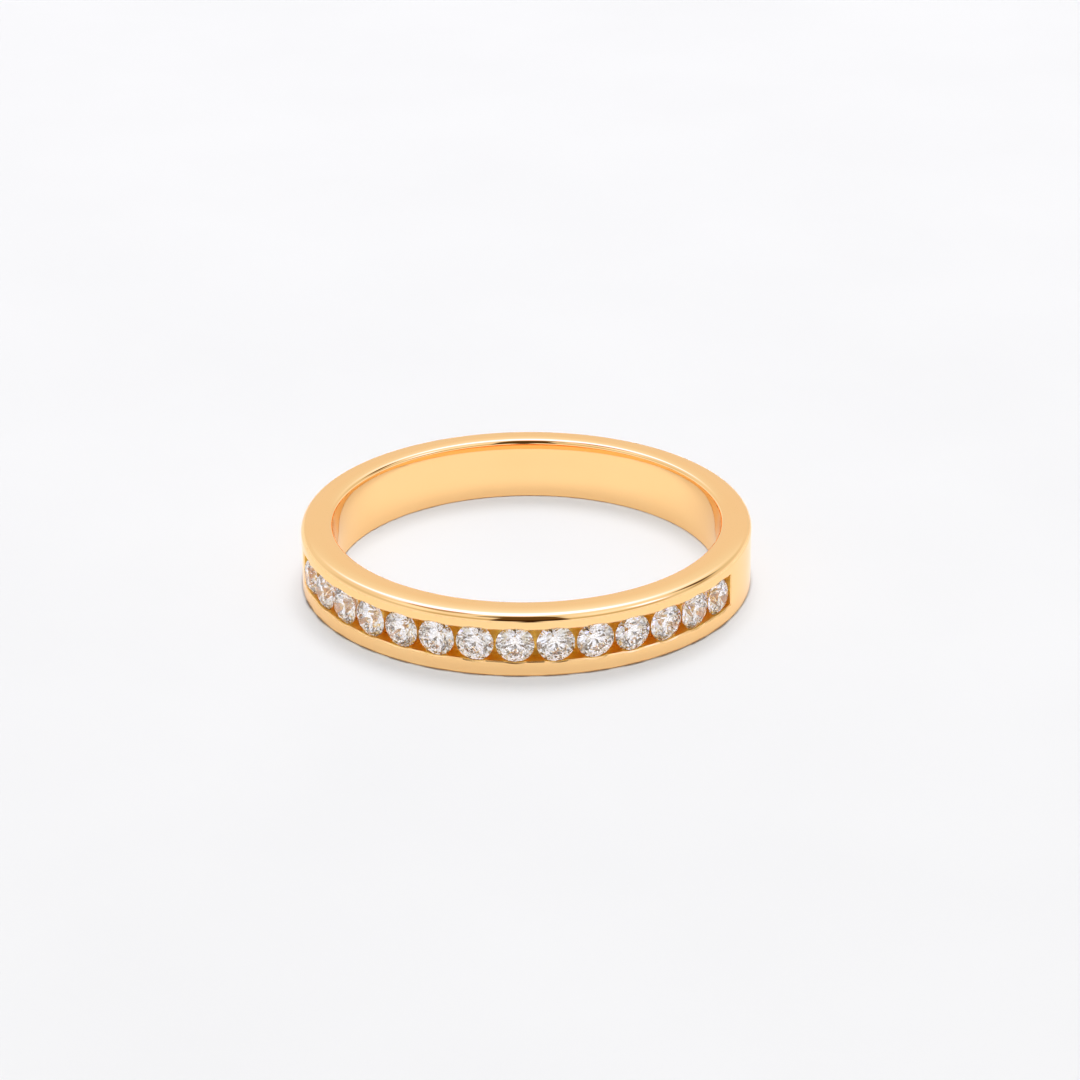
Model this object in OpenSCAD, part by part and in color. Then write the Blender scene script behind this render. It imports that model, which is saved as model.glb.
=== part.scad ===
// Half eternity ring: a plain flat band with one row of round brilliants set in a channel.
// The ring lies on its side. The finger hole runs along Z, with its middle at the origin.
// The row of stones faces -Y, and the wall of the band is thickest in the middle of the row.

/* [Band] */
// Inner diameter of the finger hole
bore_d = 17.3; // [14:0.1:22]
// Wall thickness in the middle of the row of stones
front_wall = 1.7; // [1.5:0.05:2.4]
// Wall thickness at the back, opposite the stones
back_wall = 1.3; // [1:0.05:2]
// Width of each rail, from the channel to the flat side of the band
rail_w = 0.69; // [0.5:0.01:1.2]
// Radius of the two rounded outer edges
outer_edge_r = 0.3; // [0.1:0.05:0.4]
// Radius of the two rounded edges of the finger hole
inner_edge_r = 0.2; // [0.1:0.05:0.4]

/* [Stones] */
// Number of stones in the row
stone_count = 14; // [5:1:16]
// Diameter of a stone across its girdle
stone_d = 1.66; // [1.4:0.02:2]
// Gap between the girdles of two neighbours
stone_gap = 0.08; // [0.04:0.01:0.3]
// Width of the flat table, as a share of the stone's diameter
table_share = 0.56; // [0.5:0.01:0.64]
// Slope of the main facets of the crown, in degrees
crown_angle = 34; // [30:1:38]
// Slope of the main facets of the pavilion, in degrees
pavilion_angle = 40.5; // [38:0.5:43]
// Height of the girdle where the main facets meet it
girdle_h = 0.05; // [0.04:0.01:0.08]
// Reach of the star facets, as a share of the way from the table to the girdle
star_share = 0.5; // [0.4:0.05:0.6]
// Reach of the lower girdle facets, as a share of the way from the girdle to the culet
lower_share = 0.76; // [0.6:0.02:0.84]
// Turn of each stone about its own axis against the stone before it, in degrees
stone_turn = 17; // [0:1:45]

/* [Setting] */
// Depth of the middle of the girdle below the outer face of the band
girdle_depth = 0.22; // [0.18:0.01:0.3]
// Reach of each lip of the channel over the edge of a stone, at the stone's middle
lip_hold = 0.04; // [0.02:0.01:0.08]
// Depth of the scallop in the lip beside each stone
scallop_depth = 0.055; // [0.02:0.005:0.08]
// Length of the scallop in the lip beside each stone
scallop_l = 1.1; // [0.8:0.05:1.3]
// Width of the bevel along the mouth of the channel
lip_bevel = 0.05; // [0.02:0.01:0.07]
// Depth of the floor of the channel below the outer face
channel_depth = 0.75; // [0.6:0.05:0.9]
// Size of the small step along both sides of the floor
floor_step = 0.06; // [0.03:0.01:0.1]
// Gap between the last girdle and the end wall of the channel
end_gap = 0.08; // [0.04:0.01:0.5]
// Clearance round the girdle in its seat
seat_gap = 0.05; // [0.02:0.01:0.07]
// Clearance under the pavilion and over the girdle in its seat
seat_drop = 0.03; // [0.02:0.01:0.06]

/* [Hidden] */
bore_r = bore_d / 2;
stone_r = stone_d / 2;
table_r = table_share * stone_r;
crown_h = girdle_h / 2 + (stone_r - table_r) * tan(crown_angle);
pavilion_h = girdle_h / 2 + stone_r * tan(pavilion_angle);

lip_half = stone_r - lip_hold;
channel_half = lip_half - scallop_depth;
band_w = 2 * (channel_half + rail_w);

// The outer face has its own centre, so that the wall is thicker at the stones
outer_r = bore_r + (front_wall + back_wall) / 2;
outer_y = -(front_wall - back_wall) / 2;
girdle_r = outer_r - girdle_depth;

// Angles are counted about the centre of the outer face, from the middle of the row
pitch = 2 * asin((stone_d + stone_gap) / 2 / girdle_r);
row_half = (stone_count - 1) / 2 * pitch;
end_angle = row_half + 2 * asin((stone_r + end_gap) / 2 / girdle_r);

seat_r = stone_r + seat_gap;
scallop_r = (pow(scallop_l / 2, 2) + pow(scallop_depth, 2)) / (2 * scallop_depth);

// A cut runs this far past the face that it opens
past = 0.5;
// Facets that meet the girdle from one side, their turn, and the girdle points along each
girdle_facets = 16;
facet_turn = 360 / girdle_facets;
girdle_steps = 4;
girdle_points = girdle_steps * girdle_facets;
$fn = 128;

function stone_name(i) = str("stone_", i < 10 ? "0" : "", i);

// Puts a piece with its axis along Z at the place of one stone, with Z pointing outwards
module at_stone(i) {
    angle = (i - 1) * pitch - row_half;
    translate([0, outer_y, 0])
        rotate([0, 0, angle])
            translate([0, -girdle_r, 0])
                rotate([90, 0, 0])
                    children();
}

// Solid disc with the outer face and its rounded edges
module outer_disc() {
    translate([0, outer_y, 0])
        rotate_extrude() {
            translate([0, -band_w / 2])
                square([outer_r - outer_edge_r, band_w]);
            translate([0, outer_edge_r - band_w / 2])
                square([outer_r, band_w - 2 * outer_edge_r]);
            for (side = [-1, 1])
                translate([outer_r - outer_edge_r, side * (band_w / 2 - outer_edge_r)])
                    circle(outer_edge_r);
        }
}

// Finger hole, flared at both ends by the rounded inner edges
module finger_hole() {
    rotate_extrude()
        difference() {
            union() {
                translate([0, -band_w / 2 - past])
                    square([bore_r, band_w + 2 * past]);
                for (low = [-band_w / 2 - past, band_w / 2 - inner_edge_r])
                    translate([0, low])
                        square([bore_r + inner_edge_r, inner_edge_r + past]);
            }
            for (side = [-1, 1])
                translate([bore_r + inner_edge_r, side * (band_w / 2 - inner_edge_r)])
                    circle(inner_edge_r);
        }
}

// Section of the channel across the band: floor, step, wall and bevelled mouth
module channel_section() {
    half = [
        [outer_r - channel_depth, channel_half - floor_step],
        [outer_r - channel_depth + floor_step, channel_half - floor_step],
        [outer_r - channel_depth + floor_step, channel_half],
        [outer_r - lip_bevel, channel_half],
        [outer_r + past, channel_half + lip_bevel + past],
    ];
    mirrored = [for (k = [len(half) - 1:-1:0]) [half[k][0], -half[k][1]]];
    polygon(concat(half, mirrored));
}

// Sector that ends the channel: two end walls with the same bevel along their outer edge
module channel_sector() {
    far = 3 * outer_r;
    corners = 3;
    wall_r = outer_r - lip_bevel;
    rise = lip_bevel + past;
    along = [sin(end_angle), -cos(end_angle)];
    across = [cos(end_angle), sin(end_angle)];
    half = [
        wall_r * along,
        (wall_r + rise) * along + rise * across,
        for (k = [corners:-1:1])
            far * [sin(end_angle * k / corners), -cos(end_angle * k / corners)],
    ];
    mirrored = [for (k = [len(half) - 1:-1:0]) [-half[k][0], half[k][1]]];
    polygon(concat([[0, 0]], half, mirrored));
}

// Channel for the row of stones
module channel() {
    translate([0, outer_y, 0])
        intersection() {
            rotate_extrude()
                channel_section();
            linear_extrude(height = 2 * band_w, center = true)
                channel_sector();
        }
}

// Pocket for one stone: a cone for the pavilion and a groove for the girdle under the lips
module seat() {
    floor_z = -pavilion_h - seat_drop;
    lip_z = girdle_h / 2 + seat_drop;
    rotate_extrude()
        polygon([
            [0, floor_z],
            [seat_r, floor_z + seat_r * tan(pavilion_angle)],
            [seat_r, lip_z],
            [lip_half, lip_z + (seat_r - lip_half) * tan(crown_angle)],
            [0, lip_z + (seat_r - lip_half) * tan(crown_angle)],
        ]);
}

// Solid of revolution whose bevelled rim makes one side of a scallop
module scallop_side(side) {
    translate([0, side * (scallop_r - lip_half), 0])
        rotate_extrude()
            polygon([
                [0, 0],
                [scallop_r, 0],
                [scallop_r, girdle_depth - lip_bevel],
                [scallop_r + lip_bevel + past, girdle_depth + past],
                [0, girdle_depth + past],
            ]);
}

// Opening over one stone: two flat arcs that widen the mouth beside its middle
module scallop() {
    intersection() {
        scallop_side(-1);
        scallop_side(1);
        translate([-(scallop_l + lip_bevel) / 2, -stone_d, 0])
            cube([scallop_l + lip_bevel, 2 * stone_d, girdle_depth + past]);
    }
}

module band() {
    color([0.95, 0.76, 0.42])
        difference() {
            outer_disc();
            finger_hole();
            channel();
            for (i = [1:stone_count])
                at_stone(i) {
                    seat();
                    scallop();
                }
        }
}

function ring_point(r, angle, z) = [r * cos(angle), r * sin(angle), z];

// Height above the point p of the plane through a, b and c
function plane_z(p, a, b, c) =
    let (n = cross(b - a, c - a))
        a[2] - (n[0] * (p[0] - a[0]) + n[1] * (p[1] - a[1])) / n[2];

// Girdle point k, on the edge of the flat facet that runs from its corner to the girdle.
// Each facet meets the girdle between two tips, and two facets share the corner between them.
function girdle_point(k, corner_r, corner_z, tip_z) =
    let (
        angle = 360 * k / girdle_points,
        tip = floor(k / girdle_steps) * facet_turn,
        corner = (2 * floor(k / girdle_steps / 2) + 1) * facet_turn
    )
        ring_point(stone_r, angle, plane_z(
            ring_point(stone_r, angle, 0),
            ring_point(corner_r, corner, corner_z),
            ring_point(stone_r, tip, tip_z),
            ring_point(stone_r, tip + facet_turn, tip_z)
        ));

// Round brilliant with its axis along Z, its table upwards and its girdle at z = 0
module brilliant() {
    mains = girdle_facets / 2;
    main_turn = 2 * facet_turn;
    table_edge = table_r * cos(facet_turn);
    star_r = table_edge + star_share * (stone_r - table_edge);
    star_z = crown_h - (star_r * cos(facet_turn) - table_r) * tan(crown_angle);
    lower_r = (1 - lower_share) * stone_r;
    lower_z = lower_r * cos(facet_turn) * tan(pavilion_angle) - pavilion_h;
    tip_z = girdle_h / 2;

    points = [
        for (k = [0:mains - 1]) ring_point(table_r, main_turn * k, crown_h),
        for (k = [0:mains - 1]) ring_point(star_r, main_turn * k + facet_turn, star_z),
        for (k = [0:girdle_points - 1]) girdle_point(k, star_r, star_z, tip_z),
        for (k = [0:girdle_points - 1]) girdle_point(k, lower_r, lower_z, -tip_z),
        for (k = [0:mains - 1]) ring_point(lower_r, main_turn * k + facet_turn, lower_z),
        [0, 0, -pavilion_h],
    ];
    // Number of the point k in each ring of points, from the table down
    function table(k) = k % mains;
    function star(k) = mains + k % mains;
    function upper(k) = 2 * mains + k % girdle_points;
    function lower(k) = 2 * mains + girdle_points + k % girdle_points;
    function deep(k) = 2 * mains + 2 * girdle_points + k % mains;
    culet = len(points) - 1;
    last = mains - 1;
    half = girdle_steps;
    full = 2 * girdle_steps;

    faces = [
        [for (k = [last:-1:0]) table(k)],
        for (k = [0:last]) [table(k), table(k + 1), star(k)],
        for (k = [0:last]) [table(k), star(k), upper(full * k), star(k + last)],
        for (k = [0:last]) [star(k), for (j = [half:-1:0]) upper(full * k + j)],
        for (k = [0:last]) [star(k), for (j = [full:-1:half]) upper(full * k + j)],
        for (k = [0:girdle_points - 1]) [upper(k), upper(k + 1), lower(k + 1), lower(k)],
        for (k = [0:last]) [deep(k), for (j = [0:half]) lower(full * k + j)],
        for (k = [0:last]) [deep(k), for (j = [half:full]) lower(full * k + j)],
        for (k = [0:last]) [culet, deep(k + last), lower(full * k), deep(k)],
    ];
    polyhedron(points, faces);
}

module stone(i) {
    color([0.93, 0.95, 0.97])
        at_stone(i)
            rotate([0, 0, stone_turn * i])
                brilliant();
}

band();
for (i = [1:stone_count])
    stone(i);
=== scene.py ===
import bpy
import math
from mathutils import Matrix, Vector


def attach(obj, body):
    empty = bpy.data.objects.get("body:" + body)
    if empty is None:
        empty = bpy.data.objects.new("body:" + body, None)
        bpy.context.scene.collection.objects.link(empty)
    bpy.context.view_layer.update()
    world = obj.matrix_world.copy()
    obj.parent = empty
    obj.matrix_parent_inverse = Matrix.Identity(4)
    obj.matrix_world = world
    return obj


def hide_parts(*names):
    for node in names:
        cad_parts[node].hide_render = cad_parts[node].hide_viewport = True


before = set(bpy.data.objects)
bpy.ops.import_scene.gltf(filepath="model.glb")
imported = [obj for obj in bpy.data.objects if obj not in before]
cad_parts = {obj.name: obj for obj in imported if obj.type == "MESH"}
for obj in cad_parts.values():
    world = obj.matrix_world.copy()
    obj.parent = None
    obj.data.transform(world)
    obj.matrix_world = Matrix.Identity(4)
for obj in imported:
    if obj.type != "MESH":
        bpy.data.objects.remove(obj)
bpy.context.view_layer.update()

MM = 0.001

# Sizes of the band in millimetres, as in the part's source.
# The finger hole's middle is the origin, its axis is Z, and the stones are on the -Y side.
BORE_R = 8.65
OUTER_R = 10.15
OUTER_Y = -0.2
HALF_W = 1.425
# Stones, whose girdles lie a little under the outer face
STONE_R = 0.83
STONE_COUNT = 14
STONE_GAP = 0.08
GIRDLE_DEPTH = 0.22
GIRDLE_H = 0.05
PAVILION = math.radians(40.5)
CROWN = math.radians(34)
# Channel, with its stepped floor, end walls and bevelled lips
CHANNEL_HALF = 0.735
CHANNEL_DEPTH = 0.75
FLOOR_STEP = 0.06
END_GAP = 0.08
LIP_BEVEL = 0.05
# Scallop in both lips over each stone
LIP_HALF = 0.79
SCALLOP_DEPTH = 0.055
SCALLOP_L = 1.1
# Seat of each stone, with clearance all round
SEAT_R = 0.88
SEAT_DROP = 0.03
# How far a cutter reaches past the band's surface
PAST = 0.5

# Circle of the girdles, angles of the row of stones about the outer circle's middle,
# and the radius of a scallop's arc
GIRDLE_R = OUTER_R - GIRDLE_DEPTH
PITCH = 2 * math.asin((STONE_R + STONE_GAP / 2) / GIRDLE_R)
ROW_HALF = (STONE_COUNT - 1) / 2 * PITCH
END_ANGLE = ROW_HALF + 2 * math.asin((STONE_R + END_GAP) / 2 / GIRDLE_R)
SCALLOP_R = ((SCALLOP_L / 2) ** 2 + SCALLOP_DEPTH ** 2) / (2 * SCALLOP_DEPTH)

# Rounded edges of the band, and the slope at which each upper one meets the domed upper face
OUTER_EDGE_FRONT = 0.37
OUTER_EDGE_BACK = 0.2
OUTER_EDGE_LOW = 0.06
INNER_EDGE_TOP = 0.22
INNER_EDGE_LOW = 0.06
OUTER_SLOPE = math.radians(4.5)
INNER_SLOPE = math.radians(5.0)
# Rise of the domed upper face over its borders
DOME = 0.02
# The wall of the finger hole opens softly to the top over this height, up to this slope.
# A bend of 1 is a plain taper, and of 2 an even curve.
BORE_SOFT = (1.0, math.radians(9.0))
BORE_BEND = 1.6
# Upright strip of wall beside each plain edge, which keeps the shading of that edge to itself
SUPPORT = 0.012

# Steps of the meshes: round the band, over an edge, the dome and the soft opening,
# along the channel, round a seat and along a scallop's arc
COLUMNS = 720
EDGE_STEPS = 14
DOME_STEPS = 12
SOFT_STEPS = 10
CHANNEL_STEPS = 284
SEAT_STEPS = 96
SCALLOP_STEPS = 24


# Meshes, all in millimetres
def new_object(name, points, faces):
    """Mesh object from points in millimetres."""
    mesh = bpy.data.meshes.new(name)
    mesh.from_pydata([[c * MM for c in p] for p in points], [], faces)
    mesh.validate()
    obj = bpy.data.objects.new(name, mesh)
    bpy.context.scene.collection.objects.link(obj)
    return obj


def side_faces(ring_count, size):
    """Faces between neighbouring closed rings of points that follow each other in the mesh."""
    faces = []
    for ring in range(ring_count - 1):
        here, beyond = ring * size, (ring + 1) * size
        for j in range(size):
            i = (j + 1) % size
            faces.append((here + j, here + i, beyond + i, beyond + j))
    return faces


def revolve(profile, steps):
    """Points and faces of a profile of (radius, height) turned about Z. A radius of 0 makes one point."""
    points, rings = [], []
    for r, z in profile:
        if r == 0:
            rings.append([len(points)] * steps)
            points.append((0, 0, z))
            continue
        rings.append(list(range(len(points), len(points) + steps)))
        for k in range(steps):
            turn = 2 * math.pi * k / steps
            points.append((r * math.cos(turn), r * math.sin(turn), z))
    faces = []
    for low, high in zip(rings, rings[1:]):
        for k in range(steps):
            n = (k + 1) % steps
            # At a single point two of the four corners are the same
            corners = dict.fromkeys((low[k], low[n], high[n], high[k]))
            faces.append(list(corners))
    return points, faces


def border(edge_r, slope, soft=None):
    """Section of one rounded border, from the flat side to the wall.

    Each point is (distance from the wall, depth below the flat side). A wall that opens softly
    to its edge is given as (height, slope at the edge). Without one, the wall is upright.
    """
    height, steepest = soft or (SUPPORT, 0.0)
    reach = math.tan(steepest) * height / BORE_BEND
    last = math.pi / 2 - steepest
    track = []
    for k in range(EDGE_STEPS + 1):
        lean = slope + (last - slope) * k / EDGE_STEPS
        inwards = reach + edge_r * (math.sin(last) - math.sin(lean))
        track.append((inwards, edge_r * (math.cos(slope) - math.cos(lean))))
    low = track[-1][1]
    steps = SOFT_STEPS if soft else 1
    for k in range(1, steps + 1):
        track.append((reach * (1 - k / steps) ** BORE_BEND, low + height * k / steps))
    return track


def circle_point(centre_y, r, k):
    """Point of a circle at one of the band's columns. Column 0 is the middle of the row of stones."""
    turn = 2 * math.pi * k / COLUMNS
    return Vector((r * math.sin(turn), centre_y - r * math.cos(turn)))


def level_ring(centre_y, r, z):
    """Ring of points at one radius and height."""
    return [(*circle_point(centre_y, r, k), z) for k in range(COLUMNS)]


def outer_edge(k):
    """Radius of the outer upper edge: full along the row of stones, finer round the back."""
    back = (1 - math.cos(2 * math.pi * k / COLUMNS)) / 2
    share = back * back * (3 - 2 * back)
    return OUTER_EDGE_FRONT + (OUTER_EDGE_BACK - OUTER_EDGE_FRONT) * share


def band_blank():
    """Fine, closed mesh of the plain band with its rounded edges and its softly domed upper face."""
    top = HALF_W - DOME
    rings = []
    # The outer upper edge changes from column to column
    edges = [border(outer_edge(k), OUTER_SLOPE) for k in range(COLUMNS)]
    for level in zip(*edges):
        ring = []
        for k, (inwards, depth) in enumerate(level):
            ring.append((*circle_point(OUTER_Y, OUTER_R - inwards, k), top - depth))
        rings.append(ring)
    for inwards, depth in reversed(border(OUTER_EDGE_LOW, 0.0)):
        rings.append(level_ring(OUTER_Y, OUTER_R - inwards, depth - HALF_W))
    for outwards, depth in border(INNER_EDGE_LOW, 0.0):
        rings.append(level_ring(0.0, BORE_R + outwards, depth - HALF_W))
    for outwards, depth in reversed(border(INNER_EDGE_TOP, INNER_SLOPE, BORE_SOFT)):
        rings.append(level_ring(0.0, BORE_R + outwards, top - depth))
    # The dome joins the hole's last ring to the outer edge's first
    inner, outer = rings[-1], rings[0]
    for j in range(1, DOME_STEPS):
        u = j / DOME_STEPS
        z = HALF_W - DOME * (2 * u - 1) ** 2
        rings.append([(*Vector(a[:2]).lerp(Vector(b[:2]), u), z) for a, b in zip(inner, outer)])
    points = [p for ring in rings for p in ring]
    faces = []
    for j in range(len(rings)):
        here, beyond = j * COLUMNS, (j + 1) % len(rings) * COLUMNS
        for k in range(COLUMNS):
            n = (k + 1) % COLUMNS
            faces.append((here + k, beyond + k, beyond + n, here + n))
    return new_object("band_metal", points, faces)


def channel_cutter():
    """Closed sweep of the channel's section between its two end walls, with a mouth bevelled all round."""
    low = OUTER_R - CHANNEL_DEPTH
    wall = OUTER_R - LIP_BEVEL
    rise = LIP_BEVEL + PAST
    half = [
        (low, CHANNEL_HALF - FLOOR_STEP),
        (low + FLOOR_STEP, CHANNEL_HALF - FLOOR_STEP),
        (low + FLOOR_STEP, CHANNEL_HALF),
        (wall, CHANNEL_HALF),
        (wall + rise, CHANNEL_HALF + rise),
    ]
    section = half + [(r, -z) for r, z in reversed(half)]
    mouth_r = math.hypot(rise, wall + rise)
    mouth_angle = END_ANGLE + math.atan2(rise, wall + rise)
    points = []
    for k in range(CHANNEL_STEPS + 1):
        share = 2 * k / CHANNEL_STEPS - 1
        for r, z in section:
            at_mouth = r > wall
            turn = share * (mouth_angle if at_mouth else END_ANGLE)
            reach = mouth_r if at_mouth else r
            points.append((reach * math.sin(turn), OUTER_Y - reach * math.cos(turn), z))
    size = len(section)
    faces = side_faces(CHANNEL_STEPS + 1, size)
    # Each end wall is two faces: the channel's own corners, and the mouth's
    walls = ((0, 1, 2, 3, 6, 7, 8, 9), (3, 4, 5, 6))
    for corners in walls:
        faces.append(corners[::-1])
    for corners in walls:
        faces.append([CHANNEL_STEPS * size + j for j in corners])
    return new_object("channel_cutter", points, faces)


def place(points, angle):
    """Moves points from a stone's own frame, Z outwards, to its place in the row."""
    to_row = (
        Matrix.Translation((0, OUTER_Y, 0))
        @ Matrix.Rotation(angle, 4, "Z")
        @ Matrix.Translation((0, -GIRDLE_R, 0))
        @ Matrix.Rotation(math.pi / 2, 4, "X")
    )
    return [tuple(to_row @ Vector(p)) for p in points]


def row_cutter(name, shape, numbers):
    """One mesh with a copy of a shape at each of these stones, which are counted from 0."""
    own_points, own_faces = shape
    points, faces = [], []
    for number in numbers:
        base = len(points)
        points += place(own_points, number * PITCH - ROW_HALF)
        faces += [[base + corner for corner in face] for face in own_faces]
    return new_object(name, points, faces)


def seat_shape():
    """Seat of one stone: a cone under it, a wall round its girdle and a roof that slopes in to the lips."""
    floor_z = -GIRDLE_H / 2 - STONE_R * math.tan(PAVILION) - SEAT_DROP
    lip_z = GIRDLE_H / 2 + SEAT_DROP
    roof_z = lip_z + (SEAT_R - LIP_HALF) * math.tan(CROWN)
    profile = [
        (0, floor_z),
        (SEAT_R, floor_z + SEAT_R * math.tan(PAVILION)),
        (SEAT_R, lip_z),
        (LIP_HALF, roof_z),
        (0, roof_z),
    ]
    return revolve(profile, SEAT_STEPS)


def scallop_shape():
    """Opening over one stone between two flat arcs, with bevelled rims."""
    reach = (SCALLOP_L + LIP_BEVEL) / 2
    # Height over the girdle, and by how much the arcs are wider there
    levels = [(0.0, 0.0), (GIRDLE_DEPTH - LIP_BEVEL, 0.0), (GIRDLE_DEPTH + PAST, LIP_BEVEL + PAST)]
    points = []
    for z, wider in levels:
        r = SCALLOP_R + wider
        arc = []
        for k in range(SCALLOP_STEPS + 1):
            x = reach * (2 * k / SCALLOP_STEPS - 1)
            arc.append((x, math.sqrt(r * r - x * x) - (SCALLOP_R - LIP_HALF)))
        points += [(x, -y, z) for x, y in arc] + [(x, y, z) for x, y in reversed(arc)]
    size = 2 * (SCALLOP_STEPS + 1)
    faces = side_faces(len(levels), size)
    faces.append(list(range(size))[::-1])
    faces.append([(len(levels) - 1) * size + j for j in range(size)])
    return points, faces


def cut(obj, cutter):
    """Cuts one closed mesh out of another and removes the cutter."""
    bpy.context.view_layer.update()
    mod = obj.modifiers.new("cut", "BOOLEAN")
    mod.operation = "DIFFERENCE"
    mod.solver = "MANIFOLD"
    mod.object = cutter
    graph = bpy.context.evaluated_depsgraph_get()
    mesh = bpy.data.meshes.new_from_object(obj.evaluated_get(graph))
    obj.modifiers.clear()
    old = obj.data
    obj.data = mesh
    bpy.data.meshes.remove(old)
    bpy.data.objects.remove(cutter)


# Neighbouring seats overlap a little, so they are cut in two turns, every second one at a time
band = band_blank()
cut(band, channel_cutter())
cut(band, row_cutter("seats_a", seat_shape(), range(0, STONE_COUNT, 2)))
cut(band, row_cutter("seats_b", seat_shape(), range(1, STONE_COUNT, 2)))
cut(band, row_cutter("scallops", scallop_shape(), range(STONE_COUNT)))


# Materials. Tones are two places on the noise, each with its colour. A noise scale is per metre.
SHANK_TONES = ((0.3, (1.0, 0.657, 0.308)), (0.7, (1.0, 0.673, 0.324)))
SHANK_TONE_SCALE = 260
SHANK_FINISH_SCALE = 900
POLISHED = (0.02, 0.055)
SATIN = (0.2, 0.3)
# Gold stays a little warm in reflections at a shallow angle
GRAZING_TINT = (1.0, 0.93, 0.85, 1)

# The channel's deeper, more saturated gold is painted shade of its recess
CHANNEL_SHADE_TONES = ((0.35, (1.0, 0.59, 0.09)), (0.65, (1.0, 0.69, 0.17)))
CHANNEL_TONE_SCALE = 9000
CHANNEL_FINISH_SCALE = 6000
CHANNEL_ROUGHNESS = (0.28, 0.45)
CHANNEL_GRAIN_SCALE = 12000
CHANNEL_GRAIN = 0.8
CHANNEL_GRAIN_HEIGHT = 0.02 * MM

STONE_TONES = ((0.3, (0.93, 0.94, 0.98)), (0.7, (0.95, 0.96, 1.0)))
STONE_TONE_SCALE = 700
STONE_IOR = 2.4

FLOOR_TONES = ((0.3, (0.79, 0.79, 0.79)), (0.7, (0.81, 0.81, 0.81)))
FLOOR_TONE_SCALE = 60
FLOOR_ROUGHNESS = 0.7
FLOOR_SPECULAR = 0.2
# Painted glow: warm light that the floor gives off to reflections alone, where the gold mirrors it
FLOOR_GLOW_COLOUR = (1.0, 0.72, 0.5, 1.0)
FLOOR_GLOW = 0.15


def material(name):
    """New material with a Principled shader on its output."""
    mat = bpy.data.materials.new(name)
    mat.use_nodes = True
    tree = mat.node_tree
    tree.nodes.clear()
    out = tree.nodes.new("ShaderNodeOutputMaterial")
    bsdf = tree.nodes.new("ShaderNodeBsdfPrincipled")
    tree.links.new(bsdf.outputs[0], out.inputs["Surface"])
    return mat, tree, bsdf


def noise(tree, scale, detail=2.0):
    """Noise in the object's own coordinates."""
    coord = tree.nodes.new("ShaderNodeTexCoord")
    tex = tree.nodes.new("ShaderNodeTexNoise")
    tex.inputs["Scale"].default_value = scale
    tex.inputs["Detail"].default_value = detail
    tree.links.new(coord.outputs["Object"], tex.inputs["Vector"])
    return tex.outputs["Fac"]


def blend(tree, source, tones):
    """Colour between two tones, each given as (place on the source, colour)."""
    node = tree.nodes.new("ShaderNodeValToRGB")
    tree.links.new(source, node.inputs["Fac"])
    for stop, (position, colour) in zip(node.color_ramp.elements, tones):
        stop.position = position
        stop.color = (*colour, 1)
    return node.outputs["Color"]


def spread(tree, source, at_zero, at_one):
    """Number that runs between two values while the source runs from 0 to 1."""
    node = tree.nodes.new("ShaderNodeMapRange")
    tree.links.new(source, node.inputs["Value"])
    node.inputs["To Min"].default_value = at_zero
    node.inputs["To Max"].default_value = at_one
    return node.outputs["Result"]


def shank_gold(name, roughness):
    """Gold of the outer faces, the hole and the lips."""
    mat, tree, bsdf = material(name)
    tone = blend(tree, noise(tree, SHANK_TONE_SCALE), SHANK_TONES)
    finish = spread(tree, noise(tree, SHANK_FINISH_SCALE, detail=4), *roughness)
    tree.links.new(tone, bsdf.inputs["Base Color"])
    tree.links.new(finish, bsdf.inputs["Roughness"])
    bsdf.inputs["Metallic"].default_value = 1.0
    bsdf.inputs["Specular Tint"].default_value = GRAZING_TINT
    return mat


def shaded_channel_gold():
    """Grained gold of the channel, whose deeper tone is painted shade of the recess."""
    mat, tree, bsdf = material("shaded_channel_gold")
    tone = blend(tree, noise(tree, CHANNEL_TONE_SCALE, detail=3), CHANNEL_SHADE_TONES)
    finish = spread(tree, noise(tree, CHANNEL_FINISH_SCALE, detail=3), *CHANNEL_ROUGHNESS)
    tree.links.new(tone, bsdf.inputs["Base Color"])
    tree.links.new(finish, bsdf.inputs["Roughness"])
    bsdf.inputs["Metallic"].default_value = 1.0
    bump = tree.nodes.new("ShaderNodeBump")
    bump.inputs["Strength"].default_value = CHANNEL_GRAIN
    bump.inputs["Distance"].default_value = CHANNEL_GRAIN_HEIGHT
    tree.links.new(noise(tree, CHANNEL_GRAIN_SCALE), bump.inputs["Height"])
    tree.links.new(bump.outputs["Normal"], bsdf.inputs["Normal"])
    return mat


def clear_stone():
    """Clear, brilliant stone."""
    mat, tree, bsdf = material("clear_stone")
    tone = blend(tree, noise(tree, STONE_TONE_SCALE), STONE_TONES)
    tree.links.new(tone, bsdf.inputs["Base Color"])
    bsdf.inputs["IOR"].default_value = STONE_IOR
    bsdf.inputs["Transmission Weight"].default_value = 1.0
    bsdf.inputs["Roughness"].default_value = 0.0
    return mat


def floor_paint_and_glow():
    """White floor, with a painted glow that makes it a little brighter and warmer where the gold mirrors
    it.
    """
    mat, tree, bsdf = material("floor_paint_and_glow")
    tone = blend(tree, noise(tree, FLOOR_TONE_SCALE, detail=3), FLOOR_TONES)
    tree.links.new(tone, bsdf.inputs["Base Color"])
    bsdf.inputs["Roughness"].default_value = FLOOR_ROUGHNESS
    bsdf.inputs["Specular IOR Level"].default_value = FLOOR_SPECULAR
    # Painted glow, which only reflections see
    bsdf.inputs["Emission Color"].default_value = FLOOR_GLOW_COLOUR
    path = tree.nodes.new("ShaderNodeLightPath")
    glow = spread(tree, path.outputs["Is Glossy Ray"], 0.0, FLOOR_GLOW)
    tree.links.new(glow, bsdf.inputs["Emission Strength"])
    return mat


# Band piece: smooth surfaces with sharp edges, and a deeper gold of painted shade inside the channel
SHARP = math.radians(28)
# Depths under the outer face between which the bevels of the lips lie
LIP_FROM = 0.004
LIP_TO = 0.058
# The channel's faces lie this near to the band's middle plane and this far from the hole's wall,
# and none of them looks straight to the axis
CHANNEL_NEAR = 0.9
BORE_CLEAR = 0.1
AXIS_FACING = -0.8
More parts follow.
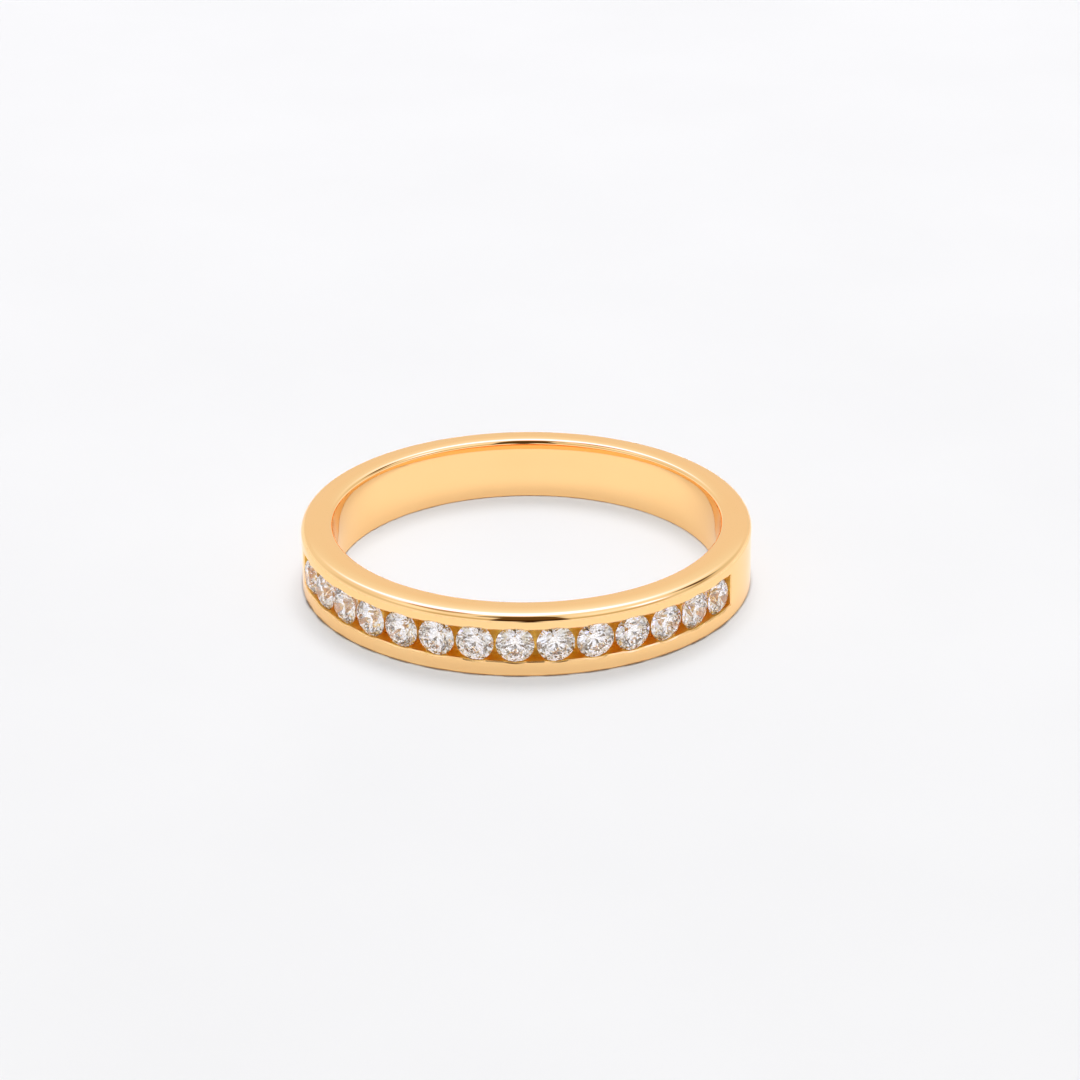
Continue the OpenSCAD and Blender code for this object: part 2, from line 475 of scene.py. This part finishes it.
# Slots of the band's materials. Slot 0, where every face starts, is the polished gold.
CHANNEL_SLOT = 1
SATIN_SLOT = 2


def paint_channel(mesh):
    """Gives the channel's faces its deeper gold of painted shade, and the bevels of its lips the satin
    gold.
    """
    for face in mesh.polygons:
        x, y, z = face.center / MM
        rho = math.hypot(x, y - OUTER_Y)
        outwards = Vector((x, y, 0)).normalized()
        in_wall = rho < OUTER_R - LIP_FROM and math.hypot(x, y) > BORE_R + BORE_CLEAR
        if in_wall and abs(z) < CHANNEL_NEAR and face.normal.dot(outwards) > AXIS_FACING:
            face.material_index = CHANNEL_SLOT if rho < OUTER_R - LIP_TO else SATIN_SLOT


band.data.materials.clear()
band.data.materials.append(shank_gold("polished_gold", POLISHED))
band.data.materials.append(shaded_channel_gold())
band.data.materials.append(shank_gold("satin_gold", SATIN))
paint_channel(band.data)
band.data.shade_smooth()
band.data.set_sharp_from_angle(angle=SHARP)
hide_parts("band")
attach(band, "root")

stone_mat = clear_stone()
for number in range(1, STONE_COUNT + 1):
    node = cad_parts["stone_%02d" % number]
    node.data.materials.clear()
    node.data.materials.append(stone_mat)

# Floor under the ring. Half its side is in millimetres.
FLOOR_HALF = 1500
FLOOR_SIDES = ((-1, -1), (1, -1), (1, 1), (-1, 1))
floor_corners = [(x * FLOOR_HALF, y * FLOOR_HALF, -HALF_W) for x, y in FLOOR_SIDES]
ground = new_object("floor", floor_corners, [(0, 1, 2, 3)])
ground.data.materials.append(floor_paint_and_glow())


# Lamps over the floor as (name, azimuth, elevation, angular radius, share of the floor's light).
# They light the floor alone: metal and stones show the white room below.
LAMPS = [
    ("lamp_top", 0, 90, 2.2, 0.55),
    ("lamp_back", 180, 63, 14, 0.29),
    ("lamp_fill", 0, 90, 60, 0.16),
]
# Distance of the lamps in metres, and the light that all of them give the floor
LAMP_DISTANCE = 1.2
FLOOR_LIGHT = 1.15


def direction(az, el):
    """Unit vector towards an azimuth and elevation in degrees.

    Azimuth 0 is the side of the stones (-Y) and 90 is the right side (+X).
    """
    az, el = math.radians(az), math.radians(el)
    return Vector((math.sin(az) * math.cos(el), -math.cos(az) * math.cos(el), math.sin(el)))


def add_lamps():
    """Adds the disc lamps, which all look at the ring from the same distance."""
    for name, az, el, radius, share in LAMPS:
        away = direction(az, el)
        data = bpy.data.lights.new(name, "AREA")
        data.shape = "DISK"
        disc_r = LAMP_DISTANCE * math.tan(math.radians(radius))
        data.size = 2 * disc_r
        # Radiance that gives this share on the floor, from the disc's solid angle and slant
        cone = math.sin(math.atan2(disc_r, LAMP_DISTANCE)) ** 2 * away.z
        data.energy = FLOOR_LIGHT * share / cone * math.pi * (math.pi * disc_r ** 2)
        lamp = bpy.data.objects.new(name, data)
        lamp.location = away * LAMP_DISTANCE
        lamp.rotation_mode = "QUATERNION"
        lamp.rotation_quaternion = away.to_track_quat("Z", "Y")
        lamp.visible_camera = False
        lamp.visible_glossy = False
        lamp.visible_transmission = False
        bpy.context.scene.collection.objects.link(lamp)


add_lamps()

# White room with softboxes and dark gaps, all in degrees. A later row lies over an earlier one.
SKY_BASE = (0.97, 0.975, 0.97)
DISCS = [
    # azimuth, elevation, radius, softness, colour
    (-168, 61, 28, 5, (1.3, 1.28, 1.6)),
    (-161, 62, 22, 7, (1.9, 1.75, 3.6)),
]
PANELS = [
    # azimuth, elevation, half width, half height, soft width, soft height, colour
    (180, 10, 75, 16, 20, 8, (0.90, 0.84, 0.79)),
    (180, 23.5, 75, 3, 20, 2.5, (0.925, 0.85, 0.79)),
    (0, 5, 150, 8, 10, 3, (1.06, 1.06, 1.12)),
    (-105, 35, 32, 22, 14, 12, (0.92, 0.90, 0.88)),
    (-66, 50, 15, 11, 8, 6, (1.16, 1.17, 1.25)),
    (66, 51, 24, 13, 8, 6, (1.14, 1.15, 1.25)),
    (82, 42, 11, 9, 4, 5, (1.6, 1.7, 3.2)),
    (-88, 68, 32, 8, 8, 2.5, (0.55, 0.46, 0.36)),
    (20, 28, 130, 8, 10, 5, (0.80, 0.75, 0.67)),
    (-20, 29, 26, 9, 8, 6, (0.67, 0.57, 0.40)),
    (48, 25, 34, 9, 8, 6, (0.67, 0.57, 0.40)),
    (110, 28, 8, 4, 5, 3, (0.50, 0.40, 0.25)),
    (127, 43, 11, 8, 4, 5, (0.12, 0.07, 0.03)),
    (2, 70, 32, 12, 5, 5, (0.17, 0.11, 0.05)),
    (9.5, 48, 19.5, 31, 2, 5, (0.13, 0.075, 0.025)),
    (9.5, 27, 18, 8, 3, 5, (0.045, 0.02, 0.005)),
    (9.5, 14, 5, 12, 4, 5, (0.045, 0.02, 0.005)),
]
# Share of the room's light that the floor gets by way of the gold
BOUNCED = 0.3
# Sockets of a Mix node for vectors, which share their names with those for other kinds
MIX_FACTOR, MIX_FIRST, MIX_SECOND, MIX_RESULT = 0, 4, 5, 1


def add_sky():
    """Adds the world that the gold and the stones reflect."""
    world = bpy.data.worlds.new("studio")
    bpy.context.scene.world = world
    world.use_nodes = True
    tree = world.node_tree
    tree.nodes.clear()

    def calc(op, *values):
        """Math node on numbers and outputs of other nodes."""
        node = tree.nodes.new("ShaderNodeMath")
        node.operation = op
        for slot, value in enumerate(values):
            if isinstance(value, (int, float)):
                node.inputs[slot].default_value = value
            else:
                tree.links.new(value, node.inputs[slot])
        return node.outputs[0]

    def fade(value, full, none):
        """Mask that falls smoothly from 1 at one value to 0 at another."""
        node = tree.nodes.new("ShaderNodeMapRange")
        node.interpolation_type = "SMOOTHSTEP"
        tree.links.new(value, node.inputs["Value"])
        node.inputs["From Min"].default_value = full
        node.inputs["From Max"].default_value = none
        node.inputs["To Min"].default_value = 1.0
        node.inputs["To Max"].default_value = 0.0
        return node.outputs["Result"]

    def lay(light, mask, colour):
        """Lays a colour over the light where the mask is 1."""
        mix = tree.nodes.new("ShaderNodeMix")
        mix.data_type = "VECTOR"
        tree.links.new(mask, mix.inputs[MIX_FACTOR])
        tree.links.new(light, mix.inputs[MIX_FIRST])
        mix.inputs[MIX_SECOND].default_value = colour
        return mix.outputs[MIX_RESULT]

    coord = tree.nodes.new("ShaderNodeTexCoord")
    split = tree.nodes.new("ShaderNodeSeparateXYZ")
    tree.links.new(coord.outputs["Generated"], split.inputs[0])
    x, y, z = split.outputs
    azimuth = calc("DEGREES", calc("ARCTAN2", x, calc("MULTIPLY", y, -1.0)))
    elevation = calc("DEGREES", calc("ARCSINE", z))
    base = tree.nodes.new("ShaderNodeCombineXYZ")
    for slot, value in enumerate(SKY_BASE):
        base.inputs[slot].default_value = value
    light = base.outputs[0]

    for az, el, radius, soft, colour in DISCS:
        dot = tree.nodes.new("ShaderNodeVectorMath")
        dot.operation = "DOT_PRODUCT"
        tree.links.new(coord.outputs["Generated"], dot.inputs[0])
        dot.inputs[1].default_value = direction(az, el)
        away = calc("DEGREES", calc("ARCCOSINE", dot.outputs["Value"]))
        light = lay(light, fade(away, radius - soft, radius + soft), colour)
    for az, el, half_az, half_el, soft_az, soft_el, colour in PANELS:
        off = calc("ABSOLUTE", calc("WRAP", calc("SUBTRACT", azimuth, float(az)), 180.0, -180.0))
        up = calc("ABSOLUTE", calc("SUBTRACT", elevation, float(el)))
        across = fade(off, half_az - soft_az, half_az + soft_az)
        upright = fade(up, half_el - soft_el, half_el + soft_el)
        light = lay(light, calc("MULTIPLY", across, upright), colour)

    back = tree.nodes.new("ShaderNodeBackground")
    tree.links.new(light, back.inputs["Color"])
    path = tree.nodes.new("ShaderNodeLightPath")
    strength = spread(tree, path.outputs["Diffuse Depth"], 1.0, BOUNCED)
    tree.links.new(strength, back.inputs["Strength"])
    out = tree.nodes.new("ShaderNodeOutputWorld")
    tree.links.new(back.outputs[0], out.inputs["Surface"])
    world.cycles_visibility.diffuse = False


add_sky()

# Camera, from a fit to the outlines in the photograph. Focus, picture and middle are in its pixels,
# and the middle is where the ring's own middle stands.
CAM_FOCUS = 3540.2
PICTURE = 1080
MIDDLE = (526.91, 544.83)
CAM_DISTANCE = 160.35 * MM
CAM_AZIMUTH = 8.0
CAM_ELEVATION = 24.776
CAM_ROLL = math.radians(0.4955)
SENSOR = 36.0


def photo_camera():
    """Camera that looks at the ring as in the photograph."""
    data = bpy.data.cameras.new("camera")
    data.sensor_width = SENSOR
    data.lens = CAM_FOCUS / PICTURE * SENSOR
    data.shift_x = (PICTURE / 2 - MIDDLE[0]) / PICTURE
    data.shift_y = (MIDDLE[1] - PICTURE / 2) / PICTURE
    data.clip_start = 0.01
    data.clip_end = 20.0
    camera = bpy.data.objects.new("camera", data)
    bpy.context.scene.collection.objects.link(camera)
    towards = direction(CAM_AZIMUTH, CAM_ELEVATION)
    camera.matrix_world = (
        Matrix.Translation(towards * CAM_DISTANCE)
        @ (-towards).to_track_quat("-Z", "Y").to_matrix().to_4x4()
        @ Matrix.Rotation(-CAM_ROLL, 4, "Z")
    )
    return camera


scene = bpy.context.scene
scene.camera = photo_camera()
scene.view_settings.view_transform = "Standard"
scene.view_settings.look = "None"
scene.cycles.max_bounces = 24
scene.cycles.glossy_bounces = 16
scene.cycles.transmission_bounces = 20
scene.cycles.blur_glossy = 0.2
scene.cycles.caustics_refractive = False
